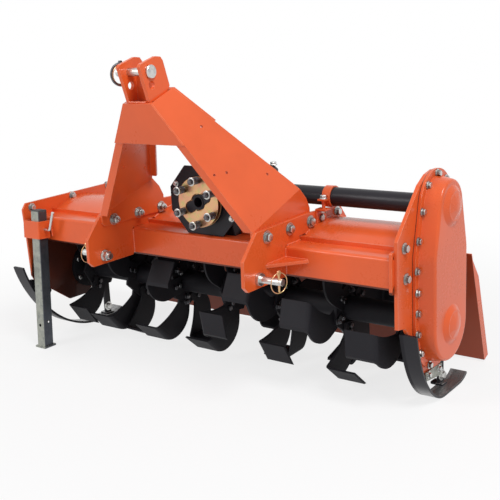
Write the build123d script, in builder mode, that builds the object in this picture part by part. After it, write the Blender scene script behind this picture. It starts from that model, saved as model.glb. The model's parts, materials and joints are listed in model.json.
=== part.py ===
# Three-point rotavator with side gear drive, parked on its stand and skids. Millimetres, +Z up.
# The tractor is on the -Y side and the gear case on the +X side. The floor is z = 0.
import os
from math import cos, radians, sin, sqrt, tan

from build123d import *

os.makedirs("parts", exist_ok=True)

# Where the lower hitch pins stand. Every y below is measured back from them.
PIN_Y = -325.0
HITCH_X = 53.0
PIN_Z = 450.0

# Three-point hitch
HITCH_HALF = 341.0
HITCH_PLATE = 12.0
LOWER_PIN_R = 11.0
LOWER_PIN_REACH = 90.0
TOP_PIN_Y = -100.0
TOP_PIN_Z = 1082.0
TOP_PIN_R = 12.7
CLEVIS_HALF = 49.0
CLEVIS_EAR = 12.0
CLEVIS_LOW_HOLE_Z = 1042.0

# Frame
BEAM = 100.0
BEAM_WALL = 8.0
BEAM_Y = 150.0
BEAM_Z = 420.0
LEFT_X = -875.0
RIGHT_X = 731.0
END_PLATE = 8.0
SIDE_PLATE = 12.0
END_FLANGE = 10.0

# Rotor and its drive
AXIS_Y = 400.0
ROTOR_Z = 258.0
DRIVE_Z = 638.0
ROTOR_TUBE_R = 42.0
FLANGE_R = 95.0
FLANGE_T = 10.0
FLANGES = 7
FIRST_FLANGE_X = -796.0
LAST_FLANGE_X = 652.0
TINE_R = 234.0
TINE_T = 8.0
TINE_WING = 112.0
RIGHT_TURNS = (38.0, 66.0, 94.0, 14.0, 34.0, 53.0)
LEFT_TURNS = (44.0, 47.0, 52.0, 96.0, 110.0, 6.0)
TINES_A_SIDE = 3

# Sheet work
HOOD_R = 300.0
HOOD_T = 5.0
FLAP_T = 4.0
HINGE_Y = 626.0
HINGE_Z = 450.0
HINGE_R = 8.0
FLAP_LEAN = 17.0
FLAP_FOOT_Z = 8.0
FLAP_LEFT_X = -870.0
FLAP_RIGHT_X = 760.0
FLAP_GAP = 24.0

# Drive case
COVER_DEPTH = 60.0
COVER_LOW_R = 117.0
COVER_TOP_R = 81.0
COVER_SHOULDER_Z = 480.0
COVER_FLANGE = 32.0
GASKET_T = 2.0
TUBE_R = 31.5

# Slip clutch on the input shaft
CLUTCH_Y = 137.0
CLUTCH_R = 86.0
CLUTCH_BOLTS = 6
CLUTCH_BOLT_R = 75.0
INPUT_R = 22.0
INPUT_BORE_R = 17.5
INPUT_BORE_DEPTH = 40.0

# Parking stand
STAND_X = -808.0
STAND_Y = 115.0
STAND_TUBE = 45.0
STAND_WALL = 3.0
STAND_TOP_Z = 548.0

# Skids
SKID_T = 8.0
SKID_W = 58.0


def wx(x):
    """World x of a place measured from the middle of the hitch."""
    return HITCH_X + x


def wy(y):
    """World y of a place measured back from the lower hitch pins."""
    return PIN_Y + y


def yz(x):
    """Plane across the machine at x, drawn in world (y, z), extruding towards +X."""
    return Plane(origin=(wx(x), 0, 0), x_dir=(0, 1, 0), z_dir=(1, 0, 0))


def xz(y):
    """Plane at y behind the pins, drawn in world (x, z), extruding towards -Y."""
    return Plane(origin=(0, wy(y), 0), x_dir=(1, 0, 0), z_dir=(0, -1, 0))


def at(points):
    """Outline points given as (y behind the pins, z), moved to world (y, z)."""
    return [(wy(y), z) for y, z in points]


def save(part, name):
    part.label = name
    export_step(part, f"parts/{name}.step")


# Main beam, folded from plate: front face, top and an inward lip, open over the tines
BEAM_LIP = 26.0
BEAM_FOLD_R = 10.0
beam_length = RIGHT_X - SIDE_PLATE - END_FLANGE - (LEFT_X + END_PLATE)
with BuildPart() as main_beam:
    with BuildSketch(yz(LEFT_X + END_PLATE)):
        with BuildLine():
            fold_line = FilletPolyline(*at([(BEAM_Y + BEAM_LIP, BEAM_Z), (BEAM_Y, BEAM_Z),
                                            (BEAM_Y, BEAM_Z + BEAM), (BEAM_Y + BEAM, BEAM_Z + BEAM)]),
                                       radius=BEAM_FOLD_R)
            offset(fold_line, amount=BEAM_WALL, side=Side.RIGHT)
        make_face()
    extrude(amount=beam_length)
save(main_beam.part, "main_beam")

# Welded flange that closes the beam against the gear case plate
with BuildPart() as beam_end_flange:
    with BuildSketch(yz(RIGHT_X - SIDE_PLATE - END_FLANGE)):
        with Locations((wy(BEAM_Y + 40), BEAM_Z + BEAM / 2 + 4)):
            RectangleRounded(92, BEAM + 28, 6)
            with GridLocations(60, BEAM - 4, 2, 2):
                Circle(7, mode=Mode.SUBTRACT)
    extrude(amount=END_FLANGE)
save(beam_end_flange.part, "beam_end_flange")

# Hood, one rolled sheet round the rotor with a folded front flange on the beam
hood_front = BEAM_Y + BEAM - 14
hood_seat_z = BEAM_Z + BEAM
outer_r = HOOD_R + HOOD_T
join_y = AXIS_Y - sqrt(outer_r**2 - (hood_seat_z + HOOD_T - ROTOR_Z) ** 2)
inner_join_y = AXIS_Y - sqrt(HOOD_R**2 - (hood_seat_z - ROTOR_Z) ** 2)
rear_angle = radians(44)
hood_rear = (AXIS_Y + HOOD_R * cos(rear_angle), ROTOR_Z + HOOD_R * sin(rear_angle))
hood_rear_out = (AXIS_Y + outer_r * cos(rear_angle), ROTOR_Z + outer_r * sin(rear_angle))
hood_length = RIGHT_X - SIDE_PLATE - (LEFT_X + END_PLATE)
with BuildPart() as hood:
    with BuildSketch(yz(LEFT_X + END_PLATE)):
        with BuildLine():
            Polyline(*at([(inner_join_y, hood_seat_z), (hood_front, hood_seat_z),
                          (hood_front, hood_seat_z + 14), (hood_front + HOOD_T, hood_seat_z + 14),
                          (hood_front + HOOD_T, hood_seat_z + HOOD_T), (join_y, hood_seat_z + HOOD_T)]))
            ThreePointArc(*at([(join_y, hood_seat_z + HOOD_T), (AXIS_Y, ROTOR_Z + outer_r), hood_rear_out]))
            Line(*at([hood_rear_out, hood_rear]))
            ThreePointArc(*at([hood_rear, (AXIS_Y, ROTOR_Z + HOOD_R), (inner_join_y, hood_seat_z)]))
        make_face()
    extrude(amount=hood_length)
save(hood.part, "hood")

# Left end plate with its bearing seat, cut to a shallow point below the rotor
left_outline = [(100, 281), (96, 430), (90, 552), (108, 576), (560, 584), (600, 520), (606, 440),
                (560, 300), (470, 205), (381, 135), (282, 135), (113, 258)]
with BuildPart() as end_plate_left:
    with BuildSketch(yz(LEFT_X)):
        Polygon(*at(left_outline), align=None)
        with Locations((wy(AXIS_Y), ROTOR_Z)):
            Circle(60, mode=Mode.SUBTRACT)
    extrude(amount=END_PLATE)
    fillet(end_plate_left.edges().filter_by(Axis.X).group_by(Axis.Z)[0], radius=10)
save(end_plate_left.part, "end_plate_left")

# Bearing carrier on the left plate: bolted flange, turned nose and closed cap outside
with BuildPart() as bearing_carrier:
    with BuildSketch(yz(LEFT_X + END_PLATE)):
        with Locations((wy(AXIS_Y), ROTOR_Z)):
            Circle(92)
            Circle(ROTOR_TUBE_R - 12, mode=Mode.SUBTRACT)
            with PolarLocations(78, 6, start_angle=30):
                Circle(6.5, mode=Mode.SUBTRACT)
    extrude(amount=14)
    with BuildSketch(yz(LEFT_X - 18)):
        with Locations((wy(AXIS_Y), ROTOR_Z)):
            Circle(58)
            Circle(ROTOR_TUBE_R - 12, mode=Mode.SUBTRACT)
    extrude(amount=18 + END_PLATE)
    with BuildSketch(yz(LEFT_X - 24)):
        with Locations((wy(AXIS_Y), ROTOR_Z)):
            Circle(52)
    extrude(amount=8)
    chamfer(bearing_carrier.edges().filter_by(GeomType.CIRCLE).group_by(Axis.X)[0], length=3)
save(bearing_carrier.part, "bearing_carrier")

# Right side plate that carries the gear case, rounded at the top round the drive shaft
right_outline = [(157, 300), (157, 569), (303, 712), (352, 738), (400, 747), (455, 738), (505, 700),
                 (600, 520), (606, 440), (560, 300), (500, 150), (440, 84), (340, 84), (302, 112),
                 (278, 150), (240, 240), (204, 292)]
with BuildPart() as side_plate_right:
    with BuildSketch(yz(RIGHT_X - SIDE_PLATE)):
        Polygon(*at(right_outline), align=None)
        with Locations((wy(AXIS_Y), ROTOR_Z)):
            Circle(56, mode=Mode.SUBTRACT)
        with Locations((wy(AXIS_Y), DRIVE_Z)):
            Circle(TUBE_R - 6, mode=Mode.SUBTRACT)
    extrude(amount=SIDE_PLATE)
    fillet(side_plate_right.edges().filter_by(Axis.X).group_by(Axis.Z)[-4:], radius=14)
save(side_plate_right.part, "side_plate_right")


def case_outline(low_r, top_r):
    """Hull of three circles: the rotor gear below, a shoulder and the drive gear on top."""
    discs = [Pos(wy(AXIS_Y), z) * Circle(r, mode=Mode.PRIVATE)
             for z, r in ((ROTOR_Z, low_r), (COVER_SHOULDER_Z, low_r), (DRIVE_Z, top_r))]
    return make_hull(Sketch(children=discs).edges(), mode=Mode.PRIVATE)


flange_low_r = COVER_LOW_R + COVER_FLANGE
flange_top_r = COVER_TOP_R + COVER_FLANGE

# Gasket between the side plate and the cover
with BuildPart() as case_gasket:
    with BuildSketch(yz(RIGHT_X)):
        add(case_outline(flange_low_r - 1, flange_top_r - 1))
        add(case_outline(COVER_LOW_R, COVER_TOP_R), mode=Mode.SUBTRACT)
    extrude(amount=GASKET_T)
save(case_gasket.part, "case_gasket")

# Pressed cover: bolted flange, drafted wall, flat face and two raised conical bosses
cover_x = RIGHT_X + GASKET_T
with BuildPart() as case_cover:
    with BuildSketch(yz(cover_x)):
        add(case_outline(flange_low_r, flange_top_r))
    extrude(amount=9)
    with BuildSketch(yz(cover_x + 8)):
        add(case_outline(COVER_LOW_R + 11, COVER_TOP_R + 11))
    with BuildSketch(yz(cover_x + COVER_DEPTH)):
        add(case_outline(COVER_LOW_R, COVER_TOP_R))
    loft(ruled=True)
    fillet(case_cover.faces().sort_by(Axis.X)[-1].edges(), radius=10)
    for boss_z in (ROTOR_Z, DRIVE_Z):
        with BuildSketch(yz(cover_x + COVER_DEPTH)):
            with Locations((wy(AXIS_Y), boss_z)):
                Circle(64)
        extrude(amount=12, taper=55)
    with BuildSketch(yz(cover_x)):
        add(case_outline(COVER_LOW_R - 2, COVER_TOP_R - 2))
    extrude(amount=COVER_DEPTH - 8, mode=Mode.SUBTRACT)
save(case_cover.part, "case_cover")

# Gear box: body, long input neck and a flange for the drive tube
with BuildPart() as gearbox:
    with BuildSketch(Plane.XY.offset(566)):
        with Locations((wx(0), wy(AXIS_Y))):
            RectangleRounded(190, 196, 30)
    extrude(amount=156)
    chamfer(gearbox.faces().sort_by(Axis.Z)[-1].edges(), length=18)
    with BuildSketch(xz(AXIS_Y)):
        with Locations((wx(0), DRIVE_Z)):
            Circle(56)
    extrude(amount=AXIS_Y - 172)
    with BuildSketch(xz(184)):
        with Locations((wx(0), DRIVE_Z)):
            Circle(72)
    extrude(amount=12)
    with BuildSketch(yz(90)):
        with Locations((wy(AXIS_Y), DRIVE_Z)):
            Circle(66)
    extrude(amount=24)
    with BuildSketch(Plane.XY.offset(720)):
        with Locations((wx(0), wy(AXIS_Y))):
            Circle(24)
    extrude(amount=10)
    with BuildSketch(xz(190)):
        with Locations((wx(0), DRIVE_Z)):
            Circle(22.05)
    extrude(amount=40, mode=Mode.SUBTRACT)
save(gearbox.part, "gearbox")

# Breather plug on the gear box
with BuildPart() as breather:
    with BuildSketch(Plane.XY.offset(730)):
        with Locations((wx(0), wy(AXIS_Y))):
            RegularPolygon(13, 6)
    extrude(amount=9)
    with BuildSketch(Plane.XY.offset(739)):
        with Locations((wx(0), wy(AXIS_Y))):
            Circle(9)
    extrude(amount=16, taper=6)
save(breather.part, "breather")

# Pedestal that ties the neck of the gear box down to the beam
with BuildPart() as gearbox_pedestal:
    with BuildSketch(xz(232)):
        Polygon((wx(-105), hood_seat_z), (wx(105), hood_seat_z), (wx(70), DRIVE_Z - 20),
                (wx(-70), DRIVE_Z - 20), align=None)
        with Locations((wx(0), DRIVE_Z)):
            Circle(56, mode=Mode.SUBTRACT)
    extrude(amount=34)
save(gearbox_pedestal.part, "gearbox_pedestal")

# Octagonal guard plate bolted to the face of the neck
GUARD_HALF_W = 146.0
GUARD_HALF_H = 117.0
GUARD_CUT_W = 69.0
GUARD_CUT_H = 76.0
with BuildPart() as clutch_guard_plate:
    with BuildSketch(xz(172)):
        with Locations((wx(0), DRIVE_Z)):
            Polygon(*[(sx * px, sz * pz)
                      for sx, sz, corner in ((1, 1, 0), (-1, 1, 1), (-1, -1, 0), (1, -1, 1))
                      for px, pz in ([(GUARD_HALF_W, GUARD_HALF_H - GUARD_CUT_H),
                                      (GUARD_HALF_W - GUARD_CUT_W, GUARD_HALF_H)]
                                     [::-1 if corner else 1])], align=None)
            Circle(30, mode=Mode.SUBTRACT)
    extrude(amount=6)
save(clutch_guard_plate.part, "clutch_guard_plate")

# Drive tube from the gear box to the side plate
with BuildPart() as drive_tube:
    with BuildSketch(yz(114)):
        with Locations((wy(AXIS_Y), DRIVE_Z)):
            Circle(TUBE_R)
            Circle(TUBE_R - 6, mode=Mode.SUBTRACT)
    extrude(amount=RIGHT_X - SIDE_PLATE - 114)
save(drive_tube.part, "drive_tube")

# Lower hitch plates, welded to the beam and run back over the hood
hitch_outline = [(0, 594), (-70, 518), (-72, 438), (-54, 420), (BEAM_Y, 420), (BEAM_Y, hood_seat_z),
                 (233, hood_seat_z), (233, 537), (282, 537), (540, 505), (528, 545), (490, 590), (285, 600)]
with BuildPart() as hitch_plate_right:
    with BuildSketch(yz(HITCH_HALF - HITCH_PLATE)):
        Polygon(*at(hitch_outline), align=None)
        with Locations((wy(AXIS_Y), ROTOR_Z)):
            Circle(outer_r, mode=Mode.SUBTRACT)
        with Locations((wy(0), PIN_Z)):
            Circle(LOWER_PIN_R, mode=Mode.SUBTRACT)
    extrude(amount=HITCH_PLATE)
save(hitch_plate_right.part, "hitch_plate_right")

middle = Plane.YZ.offset(HITCH_X)
with BuildPart() as hitch_plate_left:
    add(hitch_plate_right.part.mirror(middle))
save(hitch_plate_left.part, "hitch_plate_left")

# Flat triangular gussets between the hitch plates and the beam
with BuildPart() as hitch_gussets:
    for side in (1, -1):
        with BuildSketch(Plane.XY.offset(474)):
            Polygon((wx(side * HITCH_HALF), wy(40)), (wx(side * HITCH_HALF), wy(BEAM_Y)),
                    (wx(side * (HITCH_HALF + 86)), wy(BEAM_Y)), align=None)
        extrude(amount=10)
save(hitch_gussets.part, "hitch_gussets")


def lower_pin(side):
    """Category 1 pin with its shoulder outside the plate and a nut inside it."""
    with BuildPart() as pin:
        with BuildSketch(yz(HITCH_HALF - HITCH_PLATE - 32)):
            with Locations((wy(0), PIN_Z)):
                Circle(LOWER_PIN_R)
        extrude(amount=HITCH_PLATE + 32 + LOWER_PIN_REACH)
        with BuildSketch(yz(HITCH_HALF)):
            with Locations((wy(0), PIN_Z)):
                Circle(20)
        extrude(amount=12)
        with BuildSketch(yz(HITCH_HALF - HITCH_PLATE - 4)):
            with Locations((wy(0), PIN_Z)):
                Circle(20)
        extrude(amount=4)
        with BuildSketch(yz(HITCH_HALF - HITCH_PLATE - 22)):
            with Locations((wy(0), PIN_Z)):
                RegularPolygon(18, 6)
        extrude(amount=18)
        with BuildSketch(Plane.XY.offset(PIN_Z)):
            with Locations((wx(HITCH_HALF + LOWER_PIN_REACH - 14), wy(0))):
                Circle(4.5)
        extrude(amount=20, both=True, mode=Mode.SUBTRACT)
    return pin.part if side > 0 else pin.part.mirror(middle)


save(lower_pin(1), "lower_pin_right")
save(lower_pin(-1), "lower_pin_left")

# Mast legs, folded from plate: a leaning panel, an upright foot and two inward flanges
LEG_T = 8.0
LEG_FLANGE = 34.0
LEG_HOLES = ((61, 938), (18, 908), (-28, 768), (20, 769), (167, 744))
LEG_HOLE_R = 4.5
leg_x = HITCH_HALF - HITCH_PLATE
leg_foot = Vector(wx(leg_x), wy(-4), 592)
leg_top = Vector(wx(58), wy(-113), 990)
leg_bend = Vector(wx(leg_x), wy(246), 678)
leg_front = leg_top - leg_foot
leg_plane = Plane(origin=leg_foot, x_dir=leg_front, z_dir=(leg_bend - leg_foot).cross(leg_front))


def on_leg(y, z):
    """Point of the leaning panel's outer face at (y, z), in the panel's own plane."""
    normal = leg_plane.z_dir
    y = wy(y)
    x = leg_foot.X - ((y - leg_foot.Y) * normal.Y + (z - leg_foot.Z) * normal.Z) / normal.X
    local = leg_plane.to_local_coords(Vector(x, y, z))
    return (local.X, local.Y)


inward = LEG_T if leg_plane.z_dir.X < 0 else -LEG_T
rear_low = leg_plane.from_local_coords(Vector(*on_leg(250, 700), 0))
rear_top = leg_plane.from_local_coords(Vector(*on_leg(-12, 1029), 0))
with BuildPart() as mast_leg_right:
    with BuildSketch(leg_plane):
        Polygon(*[on_leg(y, z) for y, z in ((-4, 592), (-113, 990), (-12, 1029), (250, 700), (262, 683.5))],
                align=None)
        for hole_y, hole_z in LEG_HOLES:
            with Locations(on_leg(hole_y, hole_z)):
                Circle(LEG_HOLE_R, mode=Mode.SUBTRACT)
    extrude(amount=inward)
    with BuildSketch(yz(leg_x - LEG_T)):
        Polygon(*at([(-4, 592), (-4, 566), (8, 554), (316, 554), (316, 612), (297, 648), (262, 683.5)]),
                align=None)
    extrude(amount=LEG_T)
    for low, top in ((leg_foot, leg_top), (rear_low, rear_top)):
        fold = Plane(origin=low, x_dir=(-1, 0, 0), z_dir=Vector(-1, 0, 0).cross(top - low))
        tip = fold.to_local_coords(top)
        with BuildSketch(fold):
            Polygon((0, 0), (LEG_FLANGE, 0), (tip.X + LEG_FLANGE, tip.Y), (tip.X, tip.Y), align=None)
        extrude(amount=LEG_T if (low == leg_foot) == (fold.z_dir.Y > 0) else -LEG_T)
save(mast_leg_right.part, "mast_leg_right")

with BuildPart() as mast_leg_left:
    add(mast_leg_right.part.mirror(middle))
save(mast_leg_left.part, "mast_leg_left")

# Front gusset and rear tie plate between the legs
def across(low, top, z0, z1, thick, name):
    """Trapezoid plate over both legs, from height z0 to z1 along the line low to top."""
    k0 = (z0 - low.Z) / (top.Z - low.Z)
    k1 = (z1 - low.Z) / (top.Z - low.Z)
    a = low + (top - low) * k0
    b = low + (top - low) * k1
    slope = Vector(0, b.Y - a.Y, b.Z - a.Z)
    base = Plane(origin=(wx(0), a.Y, a.Z), x_dir=(1, 0, 0), z_dir=Vector(1, 0, 0).cross(slope))
    height = slope.length
    with BuildPart() as plate:
        with BuildSketch(base):
            Polygon((wx(0) - a.X, 0), (a.X - wx(0), 0), (b.X - wx(0), height), (wx(0) - b.X, height),
                    align=None)
        extrude(amount=thick)
    save(plate.part, name)


across(leg_foot, leg_top, 862, 990, 6, "mast_gusset")
across(rear_low, rear_top, 918, 1026, -6, "mast_rear_plate")

# Top link clevis: two ears with pin holes, tied by a slotted back plate
ear_outline = [(-110, 992), (-144, 1098), (-138, 1106), (-72, 1126), (-50, 1124), (-40, 1112),
               (-17, 1036), (-40, 1000)]
with BuildPart() as clevis:
    for ear_x in (CLEVIS_HALF - CLEVIS_EAR, -CLEVIS_HALF):
        with BuildSketch(yz(ear_x)):
            Polygon(*at(ear_outline), align=None)
            with Locations((wy(TOP_PIN_Y), TOP_PIN_Z)):
                Circle(TOP_PIN_R, mode=Mode.SUBTRACT)
            with Locations((wy(TOP_PIN_Y + 3), CLEVIS_LOW_HOLE_Z)):
                Circle(TOP_PIN_R, mode=Mode.SUBTRACT)
        extrude(amount=CLEVIS_EAR)
    with BuildSketch(xz(-62)):
        with Locations((wx(0), 1022)):
            Rectangle(2 * (CLEVIS_HALF - CLEVIS_EAR), 56)
        with Locations((wx(0), 1050)):
            Circle(CLEVIS_HALF - CLEVIS_EAR)
        with Locations((wx(0), 1040)):
            SlotCenterToCenter(12, 14, rotation=90, mode=Mode.SUBTRACT)
    extrude(amount=10)
save(clevis.part, "clevis")

# Top link pin with its round head on the right
with BuildPart() as top_link_pin:
    with BuildSketch(yz(-CLEVIS_HALF - 36)):
        with Locations((wy(TOP_PIN_Y), TOP_PIN_Z)):
            Circle(TOP_PIN_R)
    extrude(amount=2 * CLEVIS_HALF + 36)
    with BuildSketch(yz(CLEVIS_HALF)):
        with Locations((wy(TOP_PIN_Y), TOP_PIN_Z)):
            Circle(21)
    extrude(amount=8)
    chamfer(top_link_pin.edges().filter_by(GeomType.CIRCLE).group_by(Axis.X)[-1], length=2)
    with BuildSketch(Plane.XY.offset(TOP_PIN_Z)):
        with Locations((wx(-CLEVIS_HALF - 24), wy(TOP_PIN_Y))):
            Circle(4.5)
    extrude(amount=20, both=True, mode=Mode.SUBTRACT)
save(top_link_pin.part, "top_link_pin")

# Parking stand: its bracket and leg lean forward together
STAND_LEAN = 4.0
STAND_PIN_Z = 490.0
STAND_FOOT_T = 6.0
BRACKET_WALL = 6.0
BRACKET_LOW = 49.0
BRACKET_TOP = 20.0
SLEEVE_GAP = 1.0
lean = radians(STAND_LEAN)
bracket_mid = Vector(wx(STAND_X), wy(STAND_Y), STAND_PIN_Z)
stand_up = Vector(0, sin(lean), cos(lean))
stand_plane = Plane(origin=bracket_mid, x_dir=(1, 0, 0), z_dir=stand_up)
sleeve = STAND_TUBE + 2 * SLEEVE_GAP
LOCK_R = 5.5
LOCK_LEAN = 68.0
lock_x = STAND_X + sleeve / 2 + 1.5
lock_z = 476.0
bracket_left = LEFT_X + END_PLATE - STAND_X
bracket_right = sleeve / 2 + BRACKET_WALL
with BuildPart() as stand_bracket:
    with BuildSketch(stand_plane.offset(-BRACKET_LOW)):
        with Locations(((bracket_left + bracket_right) / 2, 0)):
            Rectangle(bracket_right - bracket_left, sleeve + 2 * BRACKET_WALL)
        Rectangle(sleeve, sleeve, mode=Mode.SUBTRACT)
        with Locations(((bracket_left - sleeve / 2) / 2 - 1, 0)):
            Rectangle(-bracket_left - sleeve / 2 - BRACKET_WALL, sleeve, mode=Mode.SUBTRACT)
    extrude(amount=BRACKET_LOW + BRACKET_TOP)
    with BuildSketch(yz(STAND_X + 10)):
        with Locations((wy(STAND_Y), lock_z)):
            Circle(LOCK_R)
    extrude(amount=60, mode=Mode.SUBTRACT)
    upright = stand_bracket.edges().filter_by(Axis(origin=bracket_mid, direction=stand_up))
    fillet(upright.group_by(Axis.X)[-1], radius=5)
save(stand_bracket.part, "stand_bracket")

# Bent lock pin hanging in the side of the bracket, its tip short of the leg
with BuildPart() as stand_lock_pin:
    with BuildLine(xz(STAND_Y)):
        run = Line((wx(lock_x), lock_z), (wx(lock_x + 22), lock_z))
        bend = JernArc(run @ 1, (1, 0), 16, LOCK_LEAN)
        PolarLine(bend @ 1, 68, LOCK_LEAN)
    with BuildSketch(Plane(origin=run @ 0, z_dir=(1, 0, 0))):
        Circle(LOCK_R)
    sweep(transition=Transition.ROUND)
save(stand_lock_pin.part, "stand_lock_pin")

foot_reach = (STAND_PIN_Z - STAND_FOOT_T + 2) / cos(lean)
top_reach = (STAND_TOP_Z - STAND_PIN_Z) / cos(lean)
foot_y = STAND_Y - STAND_PIN_Z * tan(lean)
with BuildPart() as stand_leg:
    with BuildSketch(stand_plane.offset(-foot_reach)):
        RectangleRounded(STAND_TUBE, STAND_TUBE, 5)
        Rectangle(STAND_TUBE - 2 * STAND_WALL, STAND_TUBE - 2 * STAND_WALL, mode=Mode.SUBTRACT)
    extrude(amount=foot_reach + top_reach)
    with BuildSketch(xz(foot_y - 40)):
        with Locations((wx(STAND_X), 92)):
            Circle(6.5)
    extrude(amount=-80, mode=Mode.SUBTRACT)
    with BuildSketch(yz(STAND_X - 40)):
        with Locations((wy(foot_y + 8), 104)):
            Circle(6.5)
    extrude(amount=80, mode=Mode.SUBTRACT)
    with BuildSketch(Plane.XY):
        with Locations((wx(STAND_X), wy(foot_y + 1))):
            RectangleRounded(STAND_TUBE + 14, STAND_TUBE + 14, 4)
    extrude(amount=STAND_FOOT_T)
save(stand_leg.part, "stand_leg")

with BuildPart() as stand_cap:
    with BuildSketch(stand_plane.offset(top_reach)):
        RectangleRounded(STAND_TUBE, STAND_TUBE, 5)
    extrude(amount=5, taper=20)
save(stand_cap.part, "stand_cap")


def skid(side, left_x, tip, knee, heel_y, lug_x, lug_root, bar_y, bar_top):
    """Bent strip from its tip down to a flat sole and raised heel, with its lug and rear adjuster."""
    sole_y, sole_z = wy(AXIS_Y + 20), SKID_T / 2
    with BuildPart() as strip:
        with BuildSketch(yz(left_x)):
            with BuildLine():
                sweep_line = Spline((wy(tip[0]), tip[1]), (wy(knee[0]), knee[1]), (sole_y, sole_z),
                                    tangents=((0.25, -1), (1, 0)), tangent_scalars=(0.8, 1))
                flat = Line((sole_y, sole_z), (wy(heel_y - 60), sole_z))
                JernArc(flat @ 1, (1, 0), 110, 34)
            trace(line_width=SKID_T)
        extrude(amount=SKID_W)
    save(strip.part, f"skid_{side}")
    high, low = sweep_line @ 0.12, sweep_line @ 0.42
    with BuildPart() as mounts:
        with BuildSketch(yz(lug_x)):
            Polygon((high.X, high.Y), (low.X, low.Y), *at(lug_root), align=None)
        extrude(amount=10)
        with BuildSketch(yz(lug_x)):
            with Locations((wy(bar_y), (bar_top + SKID_T) / 2)):
                RectangleRounded(32, bar_top - SKID_T, 4)
            with Locations((wy(bar_y), bar_top - 70)):
                SlotCenterToCenter(44, 13, rotation=90, mode=Mode.SUBTRACT)
        extrude(amount=10)
        with BuildSketch(Plane.XY.offset(SKID_T)):
            with Locations((wx(lug_x), wy(bar_y))):
                RectangleRounded(46, 40, 6)
        extrude(amount=6)
        add(strip.part, mode=Mode.SUBTRACT)
    save(mounts.part, f"skid_mounts_{side}")


skid("left", LEFT_X - SKID_W + 22, (50, 326), (150, 136), 560,
     LEFT_X - 10, ((196, 196), (150, 250), (110, 262)), 500, 240)
skid("right", RIGHT_X - 24, (212, 268), (264, 118), 590,
     RIGHT_X - SIDE_PLATE - 10, ((330, 160), (330, 210), (250, 244)), 490, 240)

# Small guard plate in front of the lower end of the gear case
with BuildPart() as case_guard:
    with BuildSketch(yz(RIGHT_X)):
        Polygon(*at([(330, 104), (338, 74), (440, 60), (452, 98), (400, 104)]), align=None)
    extrude(amount=6)
save(case_guard.part, "case_guard")

# Tail flap hinge: a rod between the end plates, carried by lugs on the hood
HINGE_LUGS = (-820, -440, -50, 330, 672)
LUG_TIP_R = 15.0
with BuildPart() as hinge_lugs:
    for lug_x in HINGE_LUGS:
        with BuildSketch(yz(lug_x)):
            Polygon(*at([(576, 520), (602, 498), (HINGE_Y + 9, HINGE_Z + 10), (HINGE_Y + 9, HINGE_Z - 8),
                         (HINGE_Y - 8, HINGE_Z - 10), (596, 462)]), align=None)
            with Locations((wy(HINGE_Y), HINGE_Z)):
                Circle(LUG_TIP_R)
            with Locations((wy(AXIS_Y), ROTOR_Z)):
                Circle(outer_r, mode=Mode.SUBTRACT)
            with Locations((wy(HINGE_Y), HINGE_Z)):
                Circle(HINGE_R, mode=Mode.SUBTRACT)
        extrude(amount=10)
save(hinge_lugs.part, "hinge_lugs")

with BuildPart() as hinge_rod:
    with BuildSketch(yz(LEFT_X + END_PLATE + 4)):
        with Locations((wy(HINGE_Y), HINGE_Z)):
            Circle(HINGE_R)
    extrude(amount=hood_length - 8)
save(hinge_rod.part, "hinge_rod")

# Tail flap: leaning sheet with folded ends and rolled knuckles on the rod
FLAP_FOLD = 34.0
KNUCKLE_MID = 16.0
flap_angle = radians(FLAP_LEAN)
flap_down = Vector(0, sin(flap_angle), -cos(flap_angle))
flap_out = Vector(1, 0, 0).cross(-flap_down)
flap_plane = Plane(origin=(wx(0), wy(HINGE_Y), HINGE_Z), x_dir=(1, 0, 0), z_dir=flap_out)
flap_reach = (HINGE_Z - FLAP_FOOT_Z) / cos(flap_angle)
flap_back = 1 if flap_plane.z_dir.Y > 0 else -1
with BuildPart() as tail_flap:
    with BuildSketch(flap_plane):
        with Locations(((FLAP_LEFT_X + FLAP_RIGHT_X) / 2, -(flap_reach + FLAP_GAP) / 2)):
            Rectangle(FLAP_RIGHT_X - FLAP_LEFT_X, flap_reach - FLAP_GAP)
    extrude(amount=flap_back * FLAP_T)
    for end_x in (FLAP_LEFT_X, FLAP_RIGHT_X - FLAP_T):
        side = Plane(origin=(wx(end_x), wy(HINGE_Y), HINGE_Z), x_dir=flap_down, z_dir=(1, 0, 0))
        across_y = 1 if side.y_dir.Y > 0 else -1
        with BuildSketch(side):
            Polygon((FLAP_GAP + 16, 0), (flap_reach, 0), (flap_reach, across_y * FLAP_FOLD),
                    (130, across_y * FLAP_FOLD), align=None)
        extrude(amount=FLAP_T)
    for lug_x in HINGE_LUGS:
        with BuildSketch(yz(lug_x + 16)):
            with Locations((wy(HINGE_Y), HINGE_Z)):
                Circle(HINGE_R + 5)
            with Locations((wy(HINGE_Y) + KNUCKLE_MID * sin(flap_angle) + FLAP_T / 2,
                            HINGE_Z - KNUCKLE_MID * cos(flap_angle))):
                Rectangle(FLAP_T, FLAP_GAP, rotation=FLAP_LEAN)
            with Locations((wy(HINGE_Y), HINGE_Z)):
                Circle(HINGE_R + 0.3, mode=Mode.SUBTRACT)
        extrude(amount=30)
save(tail_flap.part, "tail_flap")

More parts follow.
